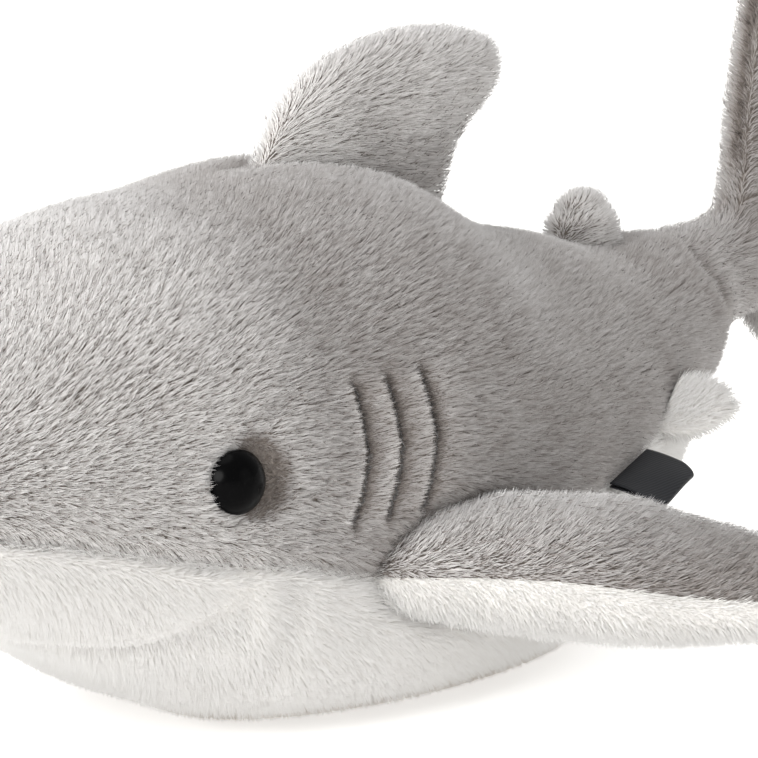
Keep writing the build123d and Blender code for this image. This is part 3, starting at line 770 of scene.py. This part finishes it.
bulge = 0.4 * noise(points, 12, 33) - 1.2 * np.exp(-(points[:, 0] / 1.5) ** 2)
bulge -= 2.4 * (1 - step(-6, -0.5, behind_tail_ring(points)))
points = points + tail_normals * bulge[:, None]
middles = points[tri].mean(axis=1)
for name, wanted in (("tail_left", middles[:, 0] >= 0), ("tail_right", middles[:, 0] < 0)):
    chosen = tri[wanted]
    used, back = np.unique(chosen, return_inverse=True)
    skins[name] = Skin(name, points[used], back.reshape(-1, 3), "grey", tail_normals[used])


# ---- how the pile lies
def body_flow(p, n):
    """Towards the tail, and also up the sides except at the gills, and down below the side seam."""
    way = np.zeros_like(p)
    way[:, 1] = 1.0
    seam = p[:, 2] - seam_height(p[:, 1])
    slope = 0.42 * step(-70, -120, p[:, 1]) + 0.45 * step(-40, 20, p[:, 1])
    way[:, 2] = np.where(seam < 0, -0.6 * step(0, 14, -seam), slope * step(2, 26, seam) - 0.08)
    for gap, here in gill_offsets(p):
        way[:, 2] *= 1 - here * np.exp(-((gap - 3.0) / 6.0) ** 2)
    return way


def gill_zone(p):
    zone = np.zeros(len(p))
    for gap, here in gill_offsets(p):
        zone = np.maximum(zone, here * np.exp(-((gap - 2.5) / 6.5) ** 4))
    return zone


def body_length(p, n):
    """Short at the gills, behind the eyes and on the nose, and longer just in front of the eyes."""
    size = 3.4 - 0.8 * gill_zone(p)
    for gap, here in gill_offsets(p):
        size *= 1 - 0.5 * here * np.exp(-((gap + 0.8) / 0.9) ** 2)
    size *= 1 - 0.62 * eye_socket(p)
    size *= 1 + 0.75 * np.exp(-(eye_reach(p, -8.0) / 5.0) ** 2)
    size *= 1 - 0.3 * step(-195, -212, p[:, 1])
    return size


def body_lift(p):
    return 70 - 44 * gill_zone(p) + 10 * eye_socket(p) - 30 * np.exp(-(eye_reach(p, -8.0) / 5.0) ** 2)


def body_fuzz(p):
    return 1 - 0.6 * gill_zone(p)


def belly_length(p, n):
    size = np.full(len(p), 3.7)
    size *= 1 - 0.45 * np.exp(-(mouth_distance(p) / 3.0) ** 2) * near_mouth(p)
    size *= 1 - 0.55 * (1 - step(0.5, 9, p[:, 2]))
    return size


def body_tone(p, n):
    """Painted light and shade: light on the head, darker behind it, and dark at the fins, in the gill slits
    and behind the eyes.
    """
    tone = 0.92 + 0.04 * noise(p, 30, 41) + 0.05 * noise(p, 11, 42)
    # Painted light: the head lighter and the body behind it darker, as the light falls on them
    tone -= 0.42 * step(-116, -60, p[:, 1]) + 0.04 * step(0, 90, p[:, 1])
    # Painted shade in the crease along each pelvic fin's root
    tone -= 0.35 * np.exp(-((pelvic_root(p) - 4.5) / 1.6) ** 2)
    # Painted shade in and just behind each gill slit, and a lighter band just in front of it
    for gap, here in gill_offsets(p):
        tone += here * (0.10 * np.exp(-((gap + 2.0) / 2.0) ** 2) - 0.50 * np.exp(-((gap - 0.7) / 1.0) ** 2)
                        - 0.24 * np.exp(-((gap - 1.8) / 2.0) ** 2))
    # Painted shade in the creases round the roots of the dorsal and pectoral fins
    tone -= 0.34 * np.exp(-(dorsal_root(p) / 2.5) ** 2) + 0.22 * np.exp(-(fin_root(p) / 2.5) ** 2)
    # Painted shade: the socket behind the eye in a dark brown tone
    return tone + (0.11 - tone) * eye_socket(p)


def body_dark(p):
    """Share of strands that show the pile's dark roots, and in the gill slits the dark strands that paint
    their shade.
    """
    share = 0.012 + 0.060 * step(-40, -110, p[:, 1])
    for gap, here in gill_offsets(p):
        share = share * (1 - here * np.exp(-(gap / 6.0) ** 2))
        # Dark strands in and behind each gill slit are painted shade
        slit = 0.90 * np.exp(-((gap - 0.8) / 1.1) ** 2)
        shade_behind_slit = 0.36 * np.exp(-((gap - 2.6) / 1.7) ** 2)
        share = share + here * (slit + shade_behind_slit)
    return share * step(9, 12, eye_reach(p))


def painted_gill_shade(p):
    """How black the roots of the dark strands are, as painted shade: most in the gill slits."""
    most = np.zeros(len(p))
    for gap, here in gill_offsets(p):
        most = np.maximum(most, here * np.exp(-((gap - 0.8) / 2.2) ** 4))
    return most


def belly_tone(p, n):
    """White, with painted shade: duller in the mouth tuck, and brown round the pelvic fins and, as a contact
    shadow, close to the floor.
    """
    # Painted shade in the mouth tuck
    tone = 0.82 + 0.05 * noise(p, 25, 43) - 0.20 * np.exp(-(mouth_distance(p) / 2.0) ** 2) * near_mouth(p)
    # Painted shade in the crease along each pelvic fin's root
    tone -= 0.6 * np.exp(-((pelvic_root(p) - 4.5) / 1.8) ** 2)
    # Painted contact shadow: brown close to the floor
    return tone - 0.66 * (1 - step(6.0, 11.5, p[:, 2]))


def has_pile(p):
    """Not under the eyes, and not behind the ring where the tail's own pile begins."""
    return (eye_reach(p) > EYE_CLEAR) & (behind_tail_ring(p) < 1.0)


def dorsal_tone(p, n):
    """Light along the front edge, a painted highlight, and darker low down behind it, a painted shadow."""
    shadow = 0.26 * step(-22, -4, p[:, 1]) * step(142, 122, p[:, 2])
    return 0.86 + 0.24 * step(-8, -34, p[:, 1]) + 0.06 * noise(p, 12, 46) - shadow


def dorsal_dark(p):
    # More dark strands low down behind the front edge, as painted shadow
    return 0.02 + 0.06 * step(-20, 0, p[:, 1]) * step(146, 126, p[:, 2])


def rear_fin_tone(p, n):
    # Painted light: lighter on top
    return 0.80 + 0.16 * step(97, 103, p[:, 2]) + 0.05 * noise(p, 14, 44)


def pectoral_tone(p, n):
    """Darker towards the tip."""
    return 0.74 - 0.36 * step(78, 125, np.abs(p[:, 0])) + 0.06 * noise(p, 14, 45)


def tail_flow(p, n):
    """Towards the tail's rear edge, out along each lobe, and to both sides of the upper lobe's seams."""
    aside = 0.7 * np.sign(p[:, 0]) * np.exp(-(p[:, 0] / 4) ** 2) * step(98, 112, p[:, 2])
    rearward = 0.9 - 0.25 * step(160, 175, p[:, 1])
    outward = 0.9 * np.clip((p[:, 2] - 84) / 22, -1, 1) * step(150, 170, p[:, 1])
    return np.stack([aside, rearward, outward], axis=1)


def tail_length(p, n):
    return 4.6 - 2.0 * (1 - step(-1, 5, behind_tail_ring(p)))


def tail_tone(p, n):
    """Darker in the sewn ring and along the upper lobe's seams."""
    ring_shadow = 0.20 * np.exp(-((behind_tail_ring(p) - 1.5) / 3.0) ** 2)
    seam_shadow = 0.38 * np.exp(-(p[:, 0] / 1.4) ** 2) * step(98, 112, p[:, 2])
    return 0.50 + 0.05 * noise(p, 14, 44) - ring_shadow - seam_shadow


def even_length(size):
    return lambda p, n: np.full(len(p), size)


def even_tone(value):
    return lambda p, n: value + 0.05 * noise(p, 14, 44)


def toward(way):
    way = np.array(way, float)
    return lambda p, n: np.broadcast_to(way, p.shape)


piles = {}
for skin in (back_left, back_right):
    piles[skin.name] = grow(skin, 6.5, body_flow, body_length, body_tone, width=0.29, lift=body_lift,
                            fuzz=body_fuzz, dark=body_dark, black=painted_gill_shade, keep=has_pile)
piles["belly"] = grow(belly, 5.0, body_flow, belly_length, belly_tone, width=0.33, lift=64, dark=0.0,
                      fuzz=0.6, floor=0.3)
for side_name, out in (("left", 1), ("right", -1)):
    skin = skins["dorsal_" + side_name]
    piles[skin.name] = grow(skin, 4.2, toward((0, 0.75, 0.55)), even_length(4.0), dorsal_tone, lift=62,
                            dark=dorsal_dark)
    skin = skins["rear_fin_" + side_name]
    piles[skin.name] = grow(skin, 5.0, toward((0, 0.4, 0.9)), even_length(3.2), rear_fin_tone, lift=66,
                            dark=0.01)
    skin = skins["pectoral_" + side_name + "_upper"]
    piles[skin.name] = grow(skin, 4.2, toward((0.8 * out, 0.55, 0)), even_length(4.2), pectoral_tone,
                            dark=0.05)
    skin = skins["pectoral_" + side_name + "_lower"]
    piles[skin.name] = grow(skin, 3.4, toward((0.75 * out, 0.6, -0.1)), even_length(3.8), even_tone(0.84),
                            width=0.36, lift=62, dark=0.0, fuzz=0.75)
    for half_name in ("upper", "lower"):
        skin = skins["pelvic_" + side_name + "_" + half_name]
        piles[skin.name] = grow(skin, 4.5, toward((0.5 * out, 0.85, 0.0)), even_length(3.8), even_tone(0.82),
                                lift=60, dark=0.0)
    skin = skins["tail_" + side_name]
    piles[skin.name] = grow(skin, 3.8, tail_flow, tail_length, tail_tone, dark=0.05)

# ---- pieces; the body's panels ride on the body
# Two points across each fin's root, the first on the body's side; they are listed, and nothing here bends
# the fin
DORSAL_BEND = ((0, -6, 128), (0, -3.2, 141))
REAR_BEND = ((0, 92, 97), (0, 93, 102.5))
TAIL_BEND = ((0, 128, 78), (0, 150, 78))
bends = {
    "dorsal_left": ("dorsal_fin", DORSAL_BEND, ("dorsal_panel_left", "dorsal_fill")),
    "dorsal_right": ("dorsal_fin", DORSAL_BEND, ("dorsal_panel_right",)),
    "rear_fin_left": ("rear_dorsal_fin", REAR_BEND, ("rear_fin_panel_left", "rear_fin_fill")),
    "rear_fin_right": ("rear_dorsal_fin", REAR_BEND, ("rear_fin_panel_right",)),
    "tail_left": ("tail", TAIL_BEND, ("tail_panel_left", "tail_fill")),
    "tail_right": ("tail", TAIL_BEND, ("tail_panel_right",)),
}
# Out from the body, square to the pelvic fin's root
PELVIC_OUT = np.array([0.948825, 0.311427, 0.052384])
for side_name, out in (("left", 1), ("right", -1)):
    part = "pectoral_" + side_name
    span = ((64 * out, -39, 42), (84 * out, -39, 42))
    bends[part + "_upper"] = ("pectoral_fin_" + side_name, span, (part + "_upper", part + "_fill"))
    bends[part + "_lower"] = ("pectoral_fin_" + side_name, span, (part + "_lower",))
    part = "pelvic_" + side_name
    flip = np.array([out, 1, 1])
    span = ((PELVIC_AT - 3.5 * PELVIC_OUT) * flip, (PELVIC_AT + 3.0 * PELVIC_OUT) * flip)
    bends[part + "_upper"] = ("pelvic_fin_" + side_name, span, (part + "_upper", part + "_fill"))
    bends[part + "_lower"] = ("pelvic_fin_" + side_name, span, (part + "_lower",))

body_pieces = (
    (back_left, ("back_panel_left", "body_fill")),
    (back_right, ("back_panel_right",)),
    (belly, ("belly_panel",)),
)
for skin, replaced in body_pieces:
    cloth = skin.build()
    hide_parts(*replaced)
    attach(cloth, "body")
    for pile in piles[skin.name]:
        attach(pile, "body")
for name, (body, span, replaced) in bends.items():
    cloth = skins[name].build(0.8)
    start = tuple(float(x) * MM for x in span[0])
    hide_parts(*replaced)
    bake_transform(cloth)
    for pile in piles[name]:
        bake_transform(pile)


# ---- eyes, washers, threads, label
def hard_material(name, scale, stops, roughness):
    """Plastic with a faint wash of tone. Also gives the shader."""
    mat, n, links, shader = material(name)
    wash = n.new("ShaderNodeTexNoise")
    wash.inputs["Scale"].default_value = scale
    tint(n, links, shader, wash, stops)
    shader.inputs["Roughness"].default_value = roughness
    return mat, shader


EYE_STOPS = [(0.35, (0.0008, 0.0008, 0.001)), (0.7, (0.0015, 0.0015, 0.0015))]
EYE_BLACK, eye_shader = hard_material("eye_black", 120, EYE_STOPS, 0.2)
eye_shader.inputs["Specular IOR Level"].default_value = 0.03
WASHER_STOPS = [(0.3, (0.74, 0.74, 0.72)), (0.7, (0.82, 0.82, 0.80))]
WASHER = hard_material("washer_plastic", 300, WASHER_STOPS, 0.5)[0]


def thread_material(name, dark, light):
    mat, n, links, shader = material(name)
    place = n.new("ShaderNodeTexCoord")
    twist = n.new("ShaderNodeTexWave")
    twist.inputs["Scale"].default_value = 900
    links.new(place.outputs["Object"], twist.inputs["Vector"])
    tint(n, links, shader, twist, [(0.2, dark), (0.8, light)])
    shader.inputs["Roughness"].default_value = 0.8
    return mat


GREY_THREAD = thread_material("grey_thread", (0.10, 0.09, 0.085), (0.2, 0.185, 0.175))
WHITE_THREAD = thread_material("white_thread", (0.6, 0.58, 0.54), (0.8, 0.78, 0.75))


def dress(node, mat):
    """A CAD node with a material of its own."""
    obj = nodes[node]
    obj.data.materials.clear()
    obj.data.materials.append(mat)
    obj.data.polygons.foreach_set("use_smooth", [True] * len(obj.data.polygons))


for side_name in ("left", "right"):
    dress("eye_" + side_name, EYE_BLACK)
    dress("eye_washer_" + side_name, WASHER)


def tube(name, path, radius, mat, sides=8):
    """A thin round thread through the points."""
    path = np.asarray(path, float)
    ahead = unit(np.gradient(path, axis=0))
    first = unit(np.cross(ahead, np.array([0.31, 0.22, 0.93])))
    second = np.cross(ahead, first)
    turn = np.linspace(0, 2 * math.pi, sides + 1)[:-1]
    ring_points = path[:, None] + radius * (np.cos(turn)[None, :, None] * first[:, None]
                                            + np.sin(turn)[None, :, None] * second[:, None])
    count = len(path)
    faces = []
    for i in range(count - 1):
        for k in range(sides):
            a, b = i * sides + k, i * sides + (k + 1) % sides
            faces.append((a, b, b + sides, a + sides))
    obj = make_mesh(name, ring_points.reshape(-1, 3), faces)
    obj.data.materials.append(mat)
    return obj


def body_surface_x(y, z):
    """Half width of the plain body at a station and height."""
    w, bottom, top, widest, power = monotone(np.array([y]), BODY_SECTIONS)[0]
    centre = bottom + widest * (top - bottom)
    p = UPPER_POWER if z > centre else power
    reach = (top - centre) if z > centre else (centre - bottom)
    return w * max(0.0, 1 - abs((z - centre) / reach) ** p) ** (1 / p)


THREAD_RADIUS = 0.35
GILL_THREAD_INSET = 2.2

for gill_name, station in zip(("front", "middle", "rear"), GILL_STATIONS):
    heights = np.linspace(58.5, 89, 40)
    ys = station + np.interp(heights, GILL_BOW[:, 0], GILL_BOW[:, 1])
    for side_name, out in (("left", 1), ("right", -1)):
        line = [(out * (body_surface_x(y, z) - SKIN_INSET - GILL_THREAD_INSET), y, z)
                for y, z in zip(ys, heights)]
        node = "gill_thread_" + gill_name + "_" + side_name
        thread = tube(node + "_line", line, THREAD_RADIUS, GREY_THREAD)
        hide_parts(node)
        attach(thread, "body")

# The mouth's thread, laid on the nearest points of the belly's underside and evened out
share = np.linspace(-6, 6, 90)
both_sides = np.concatenate([-MOUTH_CURVE[:0:-1, 0], MOUTH_CURVE[:, 0]])
mouth_x = np.interp(share, np.arange(-6, 7), both_sides)
mouth_y = np.interp(np.abs(share), np.arange(7), MOUTH_CURVE[:, 1])
line = []
for x, y in zip(mouth_x, mouth_y):
    near = np.argmin(np.linalg.norm(belly.points[:, :2] - np.array([x, y]), axis=1)
                     + 100 * (belly.normals[:, 2] > 0.3))
    line.append(belly.points[near] - belly.normals[near] * 0.1)
padded = np.pad(np.array(line), ((2, 2), (0, 0)), mode="edge")
line = np.stack([np.convolve(padded[:, k], np.ones(5) / 5, mode="valid") for k in range(3)], 1)
mouth_line = tube("mouth_line", line, THREAD_RADIUS, WHITE_THREAD)
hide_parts("mouth_thread")
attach(mouth_line, "body")

# The label: a woven satin loop, bent a little as cloth is
LABEL_AT = np.array([57.4959, 39.3389, 49.5707])
LABEL_ALONG = np.array([-0.269073, 0.954025, 0.132045])
LABEL_WAY = np.array([0.945866, 0.287592, -0.150427])
LABEL_FACE = np.cross(LABEL_WAY, LABEL_ALONG)
LABEL_HALF = 13
LABEL_OUT = 14.0
LABEL_SEWN_IN = 1.5
FOLD = 0.5
LABEL_SHOWS = LABEL_OUT + FOLD - LABEL_SEWN_IN
loop = []
for t in np.linspace(0, 1, 24):
    loop.append((t * LABEL_OUT, -FOLD))
for t in np.linspace(-90, 90, 9)[1:-1]:
    loop.append((LABEL_OUT + FOLD * math.cos(math.radians(t)), FOLD * math.sin(math.radians(t))))
for t in np.linspace(1, 0, 24):
    loop.append((t * LABEL_OUT, FOLD))
loop = np.array(loop)
# Across the label's width, with rounded corners
across = np.linspace(-LABEL_HALF, LABEL_HALF, 36)
corner = 1 - 0.26 * np.clip((np.abs(across) - 8.5) / 4.5, 0, 1)[:, None] ** 2.4
reach = loop[None, :, 0] * corner - LABEL_SEWN_IN
sag = np.where(reach > 0, 0.03 * np.abs(reach) ** 1.7, 0)
curl = 0.5 * np.sin(across / LABEL_HALF * 2.2 + 0.6)[:, None] * (np.abs(reach) / LABEL_SHOWS) ** 1.5
offset = loop[None, :, 1] - sag + curl
grid = (LABEL_AT + across[:, None, None] * LABEL_ALONG + reach[..., None] * LABEL_WAY
        + offset[..., None] * LABEL_FACE)
label = make_mesh("label_loop", grid.reshape(-1, 3), grid_faces(len(across), len(loop)))
thicken(label, 0.3, 0)
mat, n, links, shader = material("label_satin")
place = n.new("ShaderNodeTexCoord")
weave = n.new("ShaderNodeTexWave")
set_inputs(weave, {"Scale": 420, "Distortion": 0.6, "Detail": 2})
links.new(place.outputs["Object"], weave.inputs["Vector"])
tint(n, links, shader, weave, [(0.2, (0.004, 0.0045, 0.006)), (0.8, (0.010, 0.011, 0.014))])
roughen(n, links, shader, weave, 0.25, 0.0001)
set_inputs(shader, {"Roughness": 0.5, "Specular IOR Level": 0.15, "Sheen Weight": 0.03})
label.data.materials.append(mat)
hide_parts("side_label")
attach(label, "label")

# ---- floor, light, camera
scene = bpy.context.scene
STUDIO = 12000.0
WALL_HEIGHT = 2500.0
floor_corners = np.array([(-1, -1, 0), (1, -1, 0), (1, 1, 0), (-1, 1, 0)]) * STUDIO
floor_mesh = make_mesh("studio_floor", floor_corners, np.array([(0, 1, 2, 3)]), False)
WALL_POINTS = 65
turn = np.linspace(0, 2 * math.pi, WALL_POINTS)
wall_foot = np.stack([np.cos(turn), np.sin(turn), np.zeros(WALL_POINTS)], axis=1) * STUDIO
wall_points = np.concatenate([wall_foot, wall_foot + np.array([0, 0, WALL_HEIGHT])])
wall_mesh = make_mesh("studio_wall", wall_points, grid_faces(2, WALL_POINTS))
mat, n, links, shader = material("studio_paper")
set_inputs(shader, {"Base Color": (0.86, 0.855, 0.845, 1), "Roughness": 0.9})
set_inputs(shader, {"Emission Color": (1.0, 0.99, 0.975, 1), "Emission Strength": 0.58})
for studio_piece in (floor_mesh, wall_mesh):
    studio_piece.data.materials.append(mat)

world = bpy.data.worlds.new("studio")
world.use_nodes = True
set_inputs(world.node_tree.nodes["Background"], {"Color": (1.0, 0.995, 0.985, 1), "Strength": 0.7})
scene.world = world

TARGET = Vector((0.032, -0.031, 0.081))
AZIMUTH, ELEVATION, DISTANCE = math.radians(40), math.radians(12), 1.1
BACK = Vector((math.sin(AZIMUTH) * math.cos(ELEVATION), -math.cos(AZIMUTH) * math.cos(ELEVATION),
               math.sin(ELEVATION)))
camera_data = bpy.data.cameras.new("camera")
camera_data.lens = 213.7
camera_data.sensor_width = 36
camera_data.clip_end = 60
camera = bpy.data.objects.new("camera", camera_data)
camera.location = TARGET + BACK * DISTANCE
camera.rotation_euler = BACK.to_track_quat("Z", "Y").to_euler()
scene.collection.objects.link(camera)
scene.camera = camera


def soft_light(name, place, size, power, colour=(1, 1, 1)):
    data = bpy.data.lights.new(name, "AREA")
    data.shape = "DISK"
    data.size = size
    data.energy = power
    data.color = colour
    obj = bpy.data.objects.new(name, data)
    obj.location = place
    obj.rotation_euler = (Vector(place) - TARGET).to_track_quat("Z", "Y").to_euler()
    scene.collection.objects.link(obj)


soft_light("key", (0.15, -1.7, 0.85), 1.0, 38.5, (1, 0.995, 0.985))
soft_light("top", (-0.3, -0.3, 1.8), 1.4, 13)
soft_light("fill", (1.6, 0.2, 0.7), 1.2, 3)
scene.view_settings.view_transform = "Standard"
